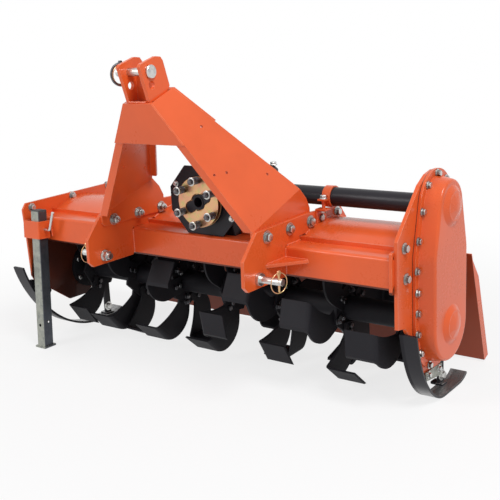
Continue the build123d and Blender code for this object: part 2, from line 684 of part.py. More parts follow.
# Rotor: tube with turned stubs and one bolting flange for each set of tines
flange_pitch = (LAST_FLANGE_X - FIRST_FLANGE_X) / (FLANGES - 1)
rotor_left = LEFT_X + END_PLATE + 20
rotor_right = RIGHT_X - SIDE_PLATE - 6
with BuildPart() as rotor_shaft:
    with BuildSketch(yz(rotor_left)):
        with Locations((wy(AXIS_Y), ROTOR_Z)):
            Circle(ROTOR_TUBE_R)
    extrude(amount=rotor_right - rotor_left)
    with BuildSketch(yz(LEFT_X - 10)):
        with Locations((wy(AXIS_Y), ROTOR_Z)):
            Circle(ROTOR_TUBE_R - 12.05)
    extrude(amount=RIGHT_X - 2 - LEFT_X + 10)
    for i in range(FLANGES):
        with BuildSketch(yz(FIRST_FLANGE_X + i * flange_pitch)):
            with Locations((wy(AXIS_Y), ROTOR_Z)):
                RegularPolygon(FLANGE_R, 6, rotation=i * 17)
        extrude(amount=FLANGE_T)
save(rotor_shaft.part, "rotor_shaft")

# One sickle tine: its side outline, cut through a bent strip so that the wing turns sideways
SHANK_HALF = 32.0
SHANK_FOOT = 48.0
WING_LEAD = (90.0, 230.0)
WING_TRAIL = (152.0, 185.0)
WING_LEAN = 34.0
BEND_R = 16.0
with BuildPart(mode=Mode.PRIVATE) as tine:
    with BuildSketch(Plane.YZ):
        with BuildLine():
            front = Line((-SHANK_HALF, SHANK_FOOT), (-SHANK_HALF - 4, 120))
            lead = ThreePointArc(front @ 1, (-10, 196), WING_LEAD)
            tip = Line(lead @ 1, WING_TRAIL)
            trail = ThreePointArc(tip @ 1, (74, 136), (SHANK_HALF, 92))
            back = Line(trail @ 1, (SHANK_HALF, SHANK_FOOT))
            Line(back @ 1, front @ 0)
        make_face()
    extrude(amount=TINE_WING + 30)
    wing_turn = radians(WING_LEAN)
    strip_plane = Plane(origin=(0, 0, 0), x_dir=(1, 0, 0),
                        z_dir=Vector(0, cos(wing_turn), -sin(wing_turn)))
    up = 1 if strip_plane.y_dir.Z > 0 else -1
    with BuildSketch(strip_plane):
        with BuildLine():
            Polyline((0, up * 20), (0, up * (TINE_R - BEND_R)))
            RadiusArc((0, up * (TINE_R - BEND_R)), (BEND_R, up * TINE_R), up * BEND_R)
            Polyline((BEND_R, up * TINE_R), (TINE_WING, up * TINE_R), (TINE_WING, up * (TINE_R - TINE_T)),
                     (BEND_R, up * (TINE_R - TINE_T)))
            RadiusArc((BEND_R, up * (TINE_R - TINE_T)), (TINE_T, up * (TINE_R - BEND_R)),
                      -up * (BEND_R - TINE_T))
            Polyline((TINE_T, up * (TINE_R - BEND_R)), (TINE_T, up * 20), (0, up * 20))
        make_face()
    extrude(amount=300, both=True, mode=Mode.INTERSECT)


def tine_set(index):
    """The tines of one flange: three turn right and three turn left, end flanges only inward."""
    x = FIRST_FLANGE_X + index * flange_pitch
    left_tine = tine.part.mirror(Plane.YZ)
    with BuildPart() as blades:
        for k in range(TINES_A_SIDE):
            turn = k * 360 / TINES_A_SIDE
            if index < FLANGES - 1:
                right_turn = (turn + RIGHT_TURNS[index], 0, 0)
                add(tine.part.moved(Location((wx(x + FLANGE_T), wy(AXIS_Y), ROTOR_Z), right_turn)))
            if index > 0:
                left_turn = (turn + LEFT_TURNS[index - 1], 0, 0)
                add(left_tine.moved(Location((wx(x), wy(AXIS_Y), ROTOR_Z), left_turn)))
    save(blades.part, f"tines_{index + 1}")


for i in range(FLANGES):
    tine_set(i)

# Slip clutch: stacked plates clamped by spring bolts, turning with the input shaft
PLATE_T = 5.0
LINING_T = 3.0
BOLT_R = 6.0
SPRING_R = 13.0
SPRING_TURNS = 3
NUT_T = 10.0
BOLT_TIP_Y = 92.0
CLUTCH_START = 28.0
SLOT_HALF = 61.0
SLOT_W = 40.0
SLOT_GAP = 3.0
YOKE_HUB_R = 27.0
YOKE_T = 3.0
clutch_back_y = CLUTCH_Y + 3 * PLATE_T + 2 * LINING_T


plate_step = PLATE_T + LINING_T
slot_turn = radians(CLUTCH_START)
slot_plane = Plane(origin=(wx(0), wy(CLUTCH_Y + PLATE_T), DRIVE_Z),
                   x_dir=(cos(slot_turn), 0, sin(slot_turn)), z_dir=(0, -1, 0))

# Hollow input shaft: the tractor's splined shaft goes into its bore
with BuildPart() as input_shaft:
    for rear_y, radius, length in ((clutch_back_y + 30, INPUT_R, 30 + clutch_back_y - CLUTCH_Y),
                                   (clutch_back_y + 5, 34, 5)):
        with BuildSketch(xz(rear_y)):
            with Locations((wx(0), DRIVE_Z)):
                Circle(radius)
        extrude(amount=length)
    with BuildSketch(xz(CLUTCH_Y + INPUT_BORE_DEPTH)):
        with Locations((wx(0), DRIVE_Z)):
            Circle(INPUT_BORE_R)
    extrude(amount=INPUT_BORE_DEPTH, mode=Mode.SUBTRACT)
save(input_shaft.part, "input_shaft")

# Two plain plates and a front plate with a slot across it for the arms of the yoke
with BuildPart() as clutch_plates:
    for k, radius in enumerate((CLUTCH_R, CLUTCH_R - 14)):
        with BuildSketch(xz(clutch_back_y - k * plate_step)):
            with Locations((wx(0), DRIVE_Z)):
                Circle(radius)
                Circle(INPUT_R, mode=Mode.SUBTRACT)
        extrude(amount=PLATE_T)
    with BuildSketch(slot_plane):
        Circle(CLUTCH_R)
        SlotOverall(2 * SLOT_HALF, SLOT_W, mode=Mode.SUBTRACT)
        Circle(YOKE_HUB_R + SLOT_GAP, mode=Mode.SUBTRACT)
    extrude(amount=PLATE_T)
save(clutch_plates.part, "clutch_plates")

with BuildPart() as clutch_linings:
    for k in range(2):
        with BuildSketch(xz(clutch_back_y - PLATE_T - k * plate_step)):
            with Locations((wx(0), DRIVE_Z)):
                Circle(CLUTCH_R - 18)
                Circle(40, mode=Mode.SUBTRACT)
        extrude(amount=LINING_T)
save(clutch_linings.part, "clutch_linings")

with BuildPart() as clutch_springs:
    with BuildSketch(xz(CLUTCH_Y)):
        with Locations((wx(0), DRIVE_Z)):
            with PolarLocations(CLUTCH_BOLT_R, CLUTCH_BOLTS, start_angle=CLUTCH_START):
                Circle(BOLT_R)
    extrude(amount=CLUTCH_Y - BOLT_TIP_Y)
    with BuildSketch(xz(BOLT_TIP_Y + 4 + NUT_T)):
        with Locations((wx(0), DRIVE_Z)):
            with PolarLocations(CLUTCH_BOLT_R, CLUTCH_BOLTS, start_angle=CLUTCH_START):
                RegularPolygon(11, 6)
    extrude(amount=NUT_T)
    turn_pitch = (CLUTCH_Y - BOLT_TIP_Y - 4 - NUT_T) / SPRING_TURNS
    for k in range(SPRING_TURNS):
        with BuildSketch(xz(CLUTCH_Y - k * turn_pitch)):
            with Locations((wx(0), DRIVE_Z)):
                with PolarLocations(CLUTCH_BOLT_R, CLUTCH_BOLTS, start_angle=CLUTCH_START):
                    Circle(SPRING_R)
        extrude(amount=turn_pitch * 0.6)
save(clutch_springs.part, "clutch_springs")

# Flat two-armed yoke round the shaft, lying in the slot of the front plate
with BuildPart() as clutch_yoke:
    with BuildSketch(slot_plane):
        Circle(YOKE_HUB_R)
        SlotOverall(2 * (SLOT_HALF - SLOT_GAP), SLOT_W - 2 * SLOT_GAP)
        Circle(INPUT_R, mode=Mode.SUBTRACT)
    extrude(amount=YOKE_T)
save(clutch_yoke.part, "clutch_yoke")

# Strap clamp that steadies the drive tube, with its bracket on the right hitch plate
CLAMP_X = 346.0
with BuildPart() as tube_clamp:
    with BuildSketch(yz(CLAMP_X)):
        with Locations((wy(AXIS_Y), DRIVE_Z)):
            Circle(TUBE_R + 5)
        with Locations((wy(AXIS_Y - TUBE_R - 14), DRIVE_Z - 3)):
            Rectangle(34, 6)
        with Locations((wy(AXIS_Y), DRIVE_Z)):
            Circle(TUBE_R, mode=Mode.SUBTRACT)
    extrude(amount=30)
save(tube_clamp.part, "tube_clamp")

with BuildPart() as clamp_bracket:
    with BuildSketch(yz(HITCH_HALF)):
        Polygon(*at([(330, 556), (392, 566), (392, 600), (330, 600)]), align=None)
        with Locations((wy(AXIS_Y), ROTOR_Z)):
            Circle(outer_r, mode=Mode.SUBTRACT)
    extrude(amount=6)
    with BuildSketch(Plane.XY.offset(600)):
        with Locations((wx(HITCH_HALF + 20), wy(346))):
            Rectangle(40, 32)
    extrude(amount=6)
    with BuildSketch(Plane.XY.offset(606)):
        with Locations((wx(HITCH_HALF + 20), wy(AXIS_Y - TUBE_R - 17))):
            Circle(6)
    extrude(amount=DRIVE_Z - 6 - 606)
save(clamp_bracket.part, "clamp_bracket")
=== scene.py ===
"""Finish for a three-point rotavator: enamel and plating, fasteners, springs, linch pins and welds."""

import json
import math

import bmesh
import bpy
import numpy as np
from mathutils import Matrix, Vector


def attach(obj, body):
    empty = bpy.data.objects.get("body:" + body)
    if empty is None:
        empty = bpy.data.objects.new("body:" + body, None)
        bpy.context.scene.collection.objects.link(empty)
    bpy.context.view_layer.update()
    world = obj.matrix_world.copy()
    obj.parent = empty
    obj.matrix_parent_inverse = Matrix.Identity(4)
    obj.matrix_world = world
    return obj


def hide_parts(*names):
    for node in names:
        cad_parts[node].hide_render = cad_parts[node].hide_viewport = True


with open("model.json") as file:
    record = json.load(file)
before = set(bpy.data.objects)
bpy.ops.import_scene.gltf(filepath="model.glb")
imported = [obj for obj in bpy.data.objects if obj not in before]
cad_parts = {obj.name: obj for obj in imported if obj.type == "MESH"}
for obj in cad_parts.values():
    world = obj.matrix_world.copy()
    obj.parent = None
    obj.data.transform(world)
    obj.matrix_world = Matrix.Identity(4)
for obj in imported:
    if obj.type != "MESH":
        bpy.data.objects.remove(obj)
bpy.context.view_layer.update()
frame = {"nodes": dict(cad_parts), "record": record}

bl_info = {
    "name": "Rotavator finish",
    "version": (1, 0, 0),
    "blender": (4, 5, 0),
    "location": "3D View > Sidebar > Rotavator",
    "description": "Dresses the rotavator's CAD model with paint, plating and small hardware",
    "category": "Object",
}

NODES = frame["nodes"]

X_RIGHT = np.array((1.0, 0.0, 0.0))
Y_BACK = np.array((0.0, 1.0, 0.0))
Z_UP = np.array((0.0, 0.0, 1.0))

# The hitch's middle in the CAD model, in metres
HITCH_X = 0.053
PIN_Y = -0.325

# Axes in mm, for place(): how far back and how high rotor and drive lie, and the lower pins with their hole
AXIS = 400
ROTOR = 258
DRIVE = 638
PIN = 450
PIN_HOLE = 417

# Faces along X, in mm, that bolts stand on
HITCH_OUT = 341
LEG_IN = 321
LEFT_PLATE_IN = -867
LEFT_PLATE_OUT = -875
RIGHT_PLATE_OUT = 731
CASE_FLANGE = 742
COVER_FACE = 793

# Bolt places in mm: y or (y, z), and for the gear case (reach from the axis, z)
MAST_BOLTS_Y = (53, 177, 298)
BRACKET_BOLTS_Y = (357, 468)
LEFT_PLATE_BOLTS = ((135, 555), (350, 564), (556, 573))
RIGHT_PLATE_BOLTS = ((201, 542), (210, 446))
CASE_BOLTS = ((63, 709), (103, 634), (130, 549), (141, 458), (138, 389), (136, 323), (137, 256), (118, 188))

# Clutch: bolt circle, front plate and the turn of the first bolt
CLUTCH_RING = 75
CLUTCH_FACE = 137
CLUTCH_START = 28.0

# Rotor: flanges along X in mm and the turn of each tine set in degrees
FLANGES = 7
FIRST_FLANGE = -796
LAST_FLANGE = 652
FLANGE_T = 10
TINE_T = 8
RIGHT_TURNS = (38.0, 66.0, 94.0, 14.0, 34.0, 53.0)
LEFT_TURNS = (44.0, 47.0, 52.0, 96.0, 110.0, 6.0)
TINE_BOLT_RADII = (61, 83)
TINE_BOLT = 0.017
# Turn in degrees between the tines on the two sides of a flange that leaves room for the nuts
CLEAR_GAP = 42

# Hood, beam and gussets under the weld beads, in mm
HOOD_R = 305.0
HOOD_FLAT = 525.0
BEAM_FRONT = 149.5
BEAM_TOP = (158, 232)
GUSSET_FACES = (484.5, 473.5)


def place(x, y, z):
    """World point of a place in mm: from the hitch's middle, behind the lower pins and above the floor."""
    return np.array((HITCH_X + x / 1000, PIN_Y + y / 1000, z / 1000))


# Shader maths


class Wire:
    """A value in a shader tree. Arithmetic on it adds Math nodes, and node() adds any other kind."""

    def __init__(self, tree, socket):
        self.tree = tree
        self.socket = socket

    def node(self, kind, settings=None, inputs=None, output=0):
        made = self.tree.nodes.new(kind)
        for key, value in (settings or {}).items():
            setattr(made, key, value)
        for key, value in (inputs or {}).items():
            if isinstance(value, Wire):
                self.tree.links.new(value.socket, made.inputs[key])
            else:
                made.inputs[key].default_value = value
        return Wire(self.tree, made.outputs[output])

    def math(self, operation, *values, clamp=False):
        settings = {"operation": operation, "use_clamp": clamp}
        return self.node("ShaderNodeMath", settings, dict(enumerate(values)))

    def __add__(self, other):
        return self.math("ADD", self, other)

    __radd__ = __add__

    def __sub__(self, other):
        return self.math("SUBTRACT", self, other)

    def __rsub__(self, other):
        return self.math("SUBTRACT", other, self)

    def __mul__(self, other):
        return self.math("MULTIPLY", self, other)

    __rmul__ = __mul__

    def __pow__(self, other):
        return self.math("POWER", self, other)

    def clamped(self):
        return self.math("ADD", self, 0.0, clamp=True)

    def step(self, low, high):
        """0 below low, 1 above high and smooth between."""
        settings = {"interpolation_type": "SMOOTHSTEP"}
        return self.node("ShaderNodeMapRange", settings, {0: self, 1: low, 2: high, 3: 0.0, 4: 1.0})

    def noise(self, scale, detail=3.0, roughness=0.5):
        """Noise from 0 to 1 on this vector."""
        return self.node("ShaderNodeTexNoise", {}, {"Vector": self, "Scale": scale, "Detail": detail,
                                                    "Roughness": roughness})

    def stretched(self, x, y, z):
        """This vector scaled along each axis."""
        return self.node("ShaderNodeMapping", {"vector_type": "POINT"}, {"Vector": self, "Scale": (x, y, z)})

    def part(self, axis):
        """One component of this vector: 0, 1 or 2."""
        return self.node("ShaderNodeSeparateXYZ", {}, {0: self}, output=axis)


def blend(factor, low, high):
    """Colour low where factor is 0 and high where it is 1."""
    settings = {"data_type": "RGBA", "blend_type": "MIX"}
    return factor.node("ShaderNodeMix", settings, {0: factor, 6: low, 7: high}, output=2)


class Finish:
    """A Principled material under construction, with object coordinates, normal and edge mask at hand."""

    def __init__(self, name, **constants):
        self.material = bpy.data.materials.new(name)
        self.material.use_nodes = True
        self.tree = self.material.node_tree
        self.shader = self.tree.nodes["Principled BSDF"]
        for key, value in constants.items():
            self.shader.inputs[key.replace("_", " ")].default_value = value
        start = Wire(self.tree, None)
        self.where = start.node("ShaderNodeTexCoord", {}, {}, output=3)
        self.facing = start.node("ShaderNodeNewGeometry", {}, {}, output=1)
        self.start = start

    def edges(self, radius):
        """0 on flat faces, rising to 1 on edges, from how far a rounded normal leaves the true one."""
        rounded = self.start.node("ShaderNodeBevel", {"samples": 6}, {"Radius": radius})
        settings = {"operation": "DOT_PRODUCT"}
        same = rounded.node("ShaderNodeVectorMath", settings, {0: rounded, 1: self.facing}, output=1)
        return (1 - same).clamped(), rounded

    def feed(self, name, wire):
        self.tree.links.new(wire.socket, self.shader.inputs[name])

    def bump(self, height, strength, distance, normal=None):
        values = {"Height": height, "Strength": strength, "Distance": distance}
        if normal is not None:
            values["Normal"] = normal
        self.feed("Normal", height.node("ShaderNodeBump", {}, values))


def rgba(colour, shade=1.0):
    return (colour[0] * shade, colour[1] * shade, colour[2] * shade, 1.0)


# The rotor's chamber in metres, from its axis and along X: hood, end plates' inner faces, hinge and flap
CHAMBER_HOOD = (0.3015, 0.3035)
CHAMBER_LEFT = (-0.8165, -0.8145)
CHAMBER_RIGHT = (0.7715, 0.7735)
CHAMBER_REAR = (0.212, 0.222)
FLAP_START = (0.16, 0.18)
# How much painted shade the near face of the tail flap gets
FLAP_SHADE = 0.62


def under_hood(made):
    """1 on surfaces that look into the rotor's chamber: nearer its axis than the hood, between the end
    plates and before the hinge. The near face of the tail flap counts in part. The enamel paints shade
    there."""
    across = made.where.part(1) - (PIN_Y + AXIS / 1000)
    height = made.where.part(2) - ROTOR / 1000
    radius = (across * across + height * height) ** 0.5
    along = made.where.part(0)
    inside = (1 - radius.step(*CHAMBER_HOOD)) * along.step(*CHAMBER_LEFT) * (1 - along.step(*CHAMBER_RIGHT))
    inside = inside * (1 - across.step(*CHAMBER_REAR))
    flap = across.step(*FLAP_START) * (1 - made.facing.part(1).step(-0.75, -0.45)) * FLAP_SHADE
    return inside.math("MAXIMUM", inside, flap)


SKID_INNER_X = (0.757, 0.76)
SOLE_Z = (0.03, 0.09)


def enamel(name, colour, edge_wear_and_highlight_colour, dust_and_sheen_colour, gloss, dust_and_sheen_weight, peel, shade=0.3, scoured=0.0, **constants):
    """Sprayed enamel: slow shade changes, dusting on upward faces, lighter edges that are partly wear and
    partly painted highlight, orange peel in the gloss, and painted shade that darkens what looks into the
    rotor's chamber. On the welds the dusting is whitish and is painted highlight. Scoured wears the paint
    to brushed metal on the flat skid faces near the floor."""
    made = Finish(name, **constants)
    where = made.where
    cloud = where.noise(3.2, 4.0, 0.55)
    speck = where.noise(90.0, 3.0, 0.6)
    edge, rounded = made.edges(0.0022)
    upward = made.facing.part(2).step(0.25, 0.95)
    # Upward faces: dusting, and on the welds a whitish painted highlight
    dust_and_sheen = (upward * cloud.step(0.35, 0.75) * dust_and_sheen_weight + speck.step(0.66, 0.8) * 0.05).clamped()
    # Lighter edges in patches: partly wear, partly painted highlight
    edge_wear_and_highlight = (edge.step(0.02, 0.2) * where.noise(26.0, 3.0).step(0.3, 0.62) * 0.75).clamped()
    base = blend(cloud.step(0.3, 0.72), rgba(colour, 0.9), rgba(colour, 1.05))
    base = blend(dust_and_sheen, base, rgba(dust_and_sheen_colour))
    base = blend(edge_wear_and_highlight, base, rgba(edge_wear_and_highlight_colour))
    # Painted shade: the colour darkens towards colour * shade on what looks into the rotor's chamber
    chamber_shade = under_hood(made) * (cloud.step(0.2, 0.7) * 0.15 + 0.85)
    base = blend(chamber_shade, base, rgba(colour, shade))
    if scoured:
        outer = where.part(0).math("ABSOLUTE", where.part(0)).step(*SKID_INNER_X)
        low = 1 - where.part(2).step(*SOLE_Z)
        flat = made.facing.part(2).math("ABSOLUTE", made.facing.part(2)).step(0.45, 0.8)
        scratch = where.stretched(60.0, 4.0, 60.0).noise(9.0, 3.0, 0.6)
        bare = outer * low * flat * scratch.step(0.25, 0.55) * scoured
        base = blend(bare, base, blend(scratch, (0.2, 0.2, 0.2, 1.0), (0.55, 0.55, 0.55, 1.0)))
        made.feed("Metallic", bare)
    made.feed("Base Color", base)
    made.feed("Roughness", gloss + cloud.step(0.3, 0.8) * 0.08 + dust_and_sheen * 0.25 + speck * 0.05 + chamber_shade * 0.3)
    made.bump(where.noise(peel, 2.0, 0.5) + cloud * 3.0, 0.07, 0.0005, rounded)
    return made.material


# Painted shade on the galvanised stand: its faces that look towards the gear case, left of STAND_END_X,
# darken to STAND_SHADE
STAND_END_X = (-0.7, -0.6)
STAND_SHADE = (0.07, 0.078, 0.1, 1.0)


def plated(name, colour, tints, gloss, spangle=0.0, sides=0.0):
    """Zinc on steel: metal with slow tints, fine grain, dull spots and edges lightened as painted highlight.
    Spangle adds crystal patches and painted shade on the faces towards the gear case. Sides darkens the
    faces that don't look along X, such as the flats of a bolt head, as painted shade."""
    made = Finish(name, Metallic=1.0)
    where = made.where
    cloud = where.noise(38.0, 4.0, 0.6)
    grain = where.stretched(1.0, 1.0, 3.0).noise(420.0, 2.0, 0.6)
    edge, rounded = made.edges(0.0012)
    base = blend(cloud.step(0.3, 0.7), rgba(colour), rgba(tints[0]))
    base = blend(where.noise(61.0, 2.0, 0.5).step(0.5, 0.75), base, rgba(tints[1]))
    rough = gloss + cloud.step(0.35, 0.8) * 0.14 + grain * 0.08
    if spangle:
        places = {"Vector": where, "Scale": spangle}
        cells = where.node("ShaderNodeTexVoronoi", {"feature": "F1"}, places, output=1)
        shade = cells.part(0)
        base = blend(shade.step(0.1, 0.9) * 0.3, base, rgba(tints[1]))
        rough = rough + shade * 0.08
        # Painted shade on the faces that look towards the gear case
        shaded = made.facing.part(0).step(0.4, 0.9) * (1 - where.part(0).step(*STAND_END_X)) * 0.9
        base = blend(shaded, base, STAND_SHADE)
    if sides:
        # Painted shade on the faces that don't look along X
        along = made.facing.part(0).math("ABSOLUTE", made.facing.part(0))
        base = blend((1 - along.step(0.5, 0.9)) * sides, base, rgba(colour, 0.16))
    # Painted highlight: edges lightened
    base = blend(edge.step(0.03, 0.25) * 0.5, base, rgba(colour, 1.25))
    made.feed("Base Color", base)
    made.feed("Roughness", rough)
    made.bump(grain, 0.1, 0.0003, rounded)
    return made.material


def dull(name, colour, second, gloss, scale, depth):
    """Moulded or pressed soft stock: two close shades, a grain of the given scale, a matt skin and edges
    lightened as painted highlight.
    """
    made = Finish(name, Metallic=0.0)
    where = made.where
    grain = where.noise(scale, 4.0, 0.65)
    cloud = where.noise(scale / 12, 3.0, 0.5)
    edge, rounded = made.edges(0.001)
    base = blend(cloud.step(0.3, 0.7), rgba(colour), rgba(second))
    # Painted highlight: edges lightened
    made.feed("Base Color", blend(edge.step(0.05, 0.3) * 0.5, base, rgba(second, 1.6)))
    made.feed("Roughness", gloss + grain * 0.15)
    made.bump(grain, 0.3, depth, rounded)
    return made.material


# Surfaces worked out with numpy


def basis(axis):
    """Two unit vectors that make a right-handed set with the axis."""
    axis = np.asarray(axis, float) / np.linalg.norm(axis)
    other = Z_UP if abs(axis[2]) < 0.9 else X_RIGHT
    side = np.cross(other, axis)
    side /= np.linalg.norm(side)
    return side, np.cross(axis, side), axis


def grid_faces(rows, columns, wrap):
    """Quads of a rows by columns grid, closed across the columns where wrap is true."""
    r, c = np.meshgrid(np.arange(rows - 1), np.arange(columns if wrap else columns - 1), indexing="ij")
    nxt = (c + 1) % columns
    here, below = r * columns, (r + 1) * columns
    return np.stack((here + c, here + nxt, below + nxt, below + c), -1).reshape(-1, 4)


def turned(profile, foot, axis, sides=16, turn=0.0):
    """Profile of (distance along the axis, radius) pairs spun round it: foot + axis*a + r*(cos t, sin t).
    The ends are closed by profile radii of 0."""
    side, up, axis = basis(axis)
    profile = np.asarray(profile, float)
    t = turn + np.arange(sides) * 2 * np.pi / sides
    ring = np.cos(t)[:, None] * side + np.sin(t)[:, None] * up
    points = np.asarray(foot) + profile[:, None, 0:1] * axis + profile[:, None, 1:2] * ring[None]
    return points.reshape(-1, 3), grid_faces(len(profile), sides, True)


def carried(path, radius, sides=8, closed=False):
    """Circle of the given radius carried along a path of points, kept square to it by turning each frame
    onto the next tangent. Open ends are drawn together to a point."""
    path = np.asarray(path, float)
    if closed:
        tangents = np.roll(path, -1, 0) - np.roll(path, 1, 0)
    else:
        tangents = np.gradient(path, axis=0)
    tangents /= np.linalg.norm(tangents, axis=1)[:, None]
    side = basis(tangents[0])[0]
    sides_at = [side]
    for tangent in tangents[1:]:
        side = side - tangent * np.dot(side, tangent)
        side /= np.linalg.norm(side)
        sides_at.append(side)
    sides_at = np.array(sides_at)
    ups = np.cross(tangents, sides_at)
    radii = np.broadcast_to(np.asarray(radius, float), (len(path),)).copy()
    t = np.arange(sides) * 2 * np.pi / sides
    ring = np.cos(t)[None, :, None] * sides_at[:, None] + np.sin(t)[None, :, None] * ups[:, None]
    points = path[:, None] + ring * radii[:, None, None]
    if closed:
        faces = grid_faces(len(path) + 1, sides, True) % (len(path) * sides)
        return points.reshape(-1, 3), faces
    first = np.repeat(path[:1, None], sides, 1)
    last = np.repeat(path[-1:, None], sides, 1)
    points = np.concatenate((first, points, last))
    return points.reshape(-1, 3), grid_faces(len(points), sides, True)


def ringed(rings):
    """Skin over equal closed rings of points, in order. A ring with its points on one spot closes an end."""
    return np.concatenate(rings), grid_faces(len(rings), len(rings[0]), True)


def slab(outline, foot, across, up, depth, bevel=0.0008):
    """Plate with a bevelled rim: outline points (a, b) at foot + a*across + b*up, raised by depth along
    their cross product. The bevel scales the outline about its middle by 1 - bevel / mean radius."""
    outline = np.asarray(outline, float)
    across, up = np.asarray(across, float), np.asarray(up, float)
    out = np.cross(across, up)
    middle = outline.mean(0)
    tight = 1 - bevel / np.linalg.norm(outline - middle, axis=1).mean()
    rings = []
    for scale, height in ((0, 0), (tight, 0), (1, bevel), (1, depth - bevel), (tight, depth), (0, depth)):
        flat = middle + (outline - middle) * scale
        rings.append(np.asarray(foot) + flat[:, :1] * across + flat[:, 1:] * up + out * height)
    return ringed(rings)


def coil(start, axis, radius, wire, turns, length, steps=16):
    """Helix of wire: start + axis*length*u + radius*(cos, sin)(2 pi turns u), for u from 0 to 1."""
    side, up, axis = basis(axis)
    u = np.linspace(0, 1, int(turns * steps) + 1)
    angle = 2 * np.pi * turns * u[:, None]
    return carried(start + axis * length * u[:, None] + radius * (np.cos(angle) * side + np.sin(angle) * up),
                   wire, 7)


WANDER_PITCH = 0.031


def weld(path, height, pitch=0.0046):
    """Bead along a corner. Its radius is height * (0.8 + 0.2 |cos(pi s / pitch)|) at the length s, one swell
    for each ripple, and it wanders a little up and down."""
    path = np.asarray(path, float)
    lengths = np.concatenate(([0], np.cumsum(np.linalg.norm(np.diff(path, axis=0), axis=1))))
    s = np.arange(0, lengths[-1], pitch / 4)
    points = np.stack([np.interp(s, lengths, path[:, k]) for k in range(3)], 1)
    points[:, 2] += 0.06 * height * np.sin(s * 2 * np.pi / WANDER_PITCH)
    return carried(points, height * (0.8 + 0.2 * np.abs(np.cos(np.pi * s / pitch))), 7)


def add_piece(name, parts, material, body, replaces=(), sharp=40.0):
    """Joins (points, quads) parts into one mesh at the origin that rides on a body."""
    points = np.concatenate([p for p, _ in parts])
    starts = np.cumsum([0] + [len(p) for p, _ in parts[:-1]])
    faces = np.concatenate([f + s for (_, f), s in zip(parts, starts)])
    mesh = bpy.data.meshes.new(name)
    mesh.from_pydata(points.tolist(), [], faces.tolist())
    merge_close(mesh)
    mesh.materials.append(material)
    mesh.shade_smooth()
    mesh.set_sharp_from_angle(angle=math.radians(sharp))
    made = bpy.data.objects.new(name, mesh)
    bpy.context.scene.collection.objects.link(made)
    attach(made, body)
    if replaces:
        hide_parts(*replaces)
    return made


def merge_close(mesh):
    """Joins the points that a profile's closed ends leave on one spot."""
    work = bmesh.new()
    work.from_mesh(mesh)
    bmesh.ops.remove_doubles(work, verts=work.verts, dist=1e-6)
    bmesh.ops.dissolve_degenerate(work, dist=1e-7, edges=work.edges)
    bmesh.ops.recalc_face_normals(work, faces=work.faces)
    work.to_mesh(mesh)
    work.free()


SUNK = 0.0005
WASHER_T = 0.0022
HEAD_CHAMFER = 0.0016
STUD_CHAMFER = 0.001


def hex_bolt(foot, axis, flats=0.019, height=0.0085, washer=0.0, turn=0.3, stud=0.0):
    """Hexagon head with a chamfered top, an optional washer under it and an optional thread end above."""
    parts = []
    base = 0.0
    if washer:
        base = WASHER_T
        disc = [(-SUNK, 0), (-SUNK, washer), (base, washer), (base, 0)]
        parts.append(turned(disc, foot, axis, 20))
    corner = flats / 2 / math.cos(math.pi / 6)
    top = base + height
    head = [(base - SUNK, 0), (base - SUNK, corner), (top - HEAD_CHAMFER, corner),
            (top, corner * 0.84), (top, 0)]
    parts.append(turned(head, foot, axis, 6, turn))
    if stud:
        r = flats * 0.31
        low, high = top - STUD_CHAMFER, top + stud
        end = [(low, 0), (low, r), (high - STUD_CHAMFER, r), (high, r * 0.8), (high, 0)]
        parts.append(turned(end, foot, axis, 14))
    return parts


# Finishes


def make_finishes(colours):
    """The materials of the record's slots, by slot name, and those of hardware that shares a slot."""
    grey = (0.6, 0.6, 0.58)
    steel = (grey, (0.44, 0.45, 0.46))
    spring_tints = ((0.1, 0.1, 0.11), (0.3, 0.3, 0.3))
    yellow_tints = ((0.72, 0.36, 0.24), (0.5, 0.46, 0.2))
    dull_tints = ((0.4, 0.41, 0.37), (0.24, 0.25, 0.24))
    return {
        # In the enamels the lighter edge colour is partly wear and partly painted highlight, and the last
        # number is the painted shade inside the rotor's chamber
        "orange_paint": enamel("orange_enamel", colours.orange, (0.86, 0.4, 0.24), (0.66, 0.3, 0.19), 0.24,
                               0.04, 260.0, 0.07, IOR=1.4, Coat_Weight=0.15, Coat_Roughness=0.08),
        # Welds: the whitish edge colour and the pale colour on upward faces are painted highlight
        "weld": enamel("weld_enamel", colours.orange, (0.95, 0.72, 0.6), (0.9, 0.5, 0.36), 0.2,
                       0.6, 260.0, 0.2, IOR=1.5, Coat_Weight=0.5, Coat_Roughness=0.05),
        "spring_steel": plated("spring_steel", (0.16, 0.16, 0.17), spring_tints, 0.3),
        "bolt_zinc": plated("bolt_zinc_plate", colours.zinc, steel, 0.28, sides=0.75),
        "black_paint": enamel("black_enamel", colours.black, (0.05, 0.047, 0.045), (0.03, 0.027, 0.026), 0.3,
                              0.3, 320.0, 0.7, 0.9, IOR=1.33),
        "bright_zinc": plated("bright_zinc_plate", colours.zinc, steel, 0.26),
        "yellow_zinc": plated("yellow_zinc_plate", colours.yellow_zinc, yellow_tints, 0.24),
        "galvanised": plated("galvanised_steel", colours.galvanised, dull_tints, 0.42, 70.0),
        "black_plastic": dull("black_plastic", (0.02, 0.02, 0.022), (0.03, 0.03, 0.032), 0.42,
                              600.0, 0.0002),
        "gasket": dull("gasket_sheet", (0.02, 0.02, 0.02), (0.04, 0.038, 0.035), 0.6,
                       500.0, 0.0003),
        "friction_lining": dull("lining_board", (0.16, 0.07, 0.045), (0.24, 0.15, 0.1), 0.7,
                                700.0, 0.0004),
    }


def dress_nodes(finishes):
    """Gives every CAD node its slot's finish."""
    for row in frame["record"]["subparts"]:
        node = NODES[row["node"]]
        node.data.materials.clear()
        node.data.materials.append(finishes[row["material_slot"]])


# Properties


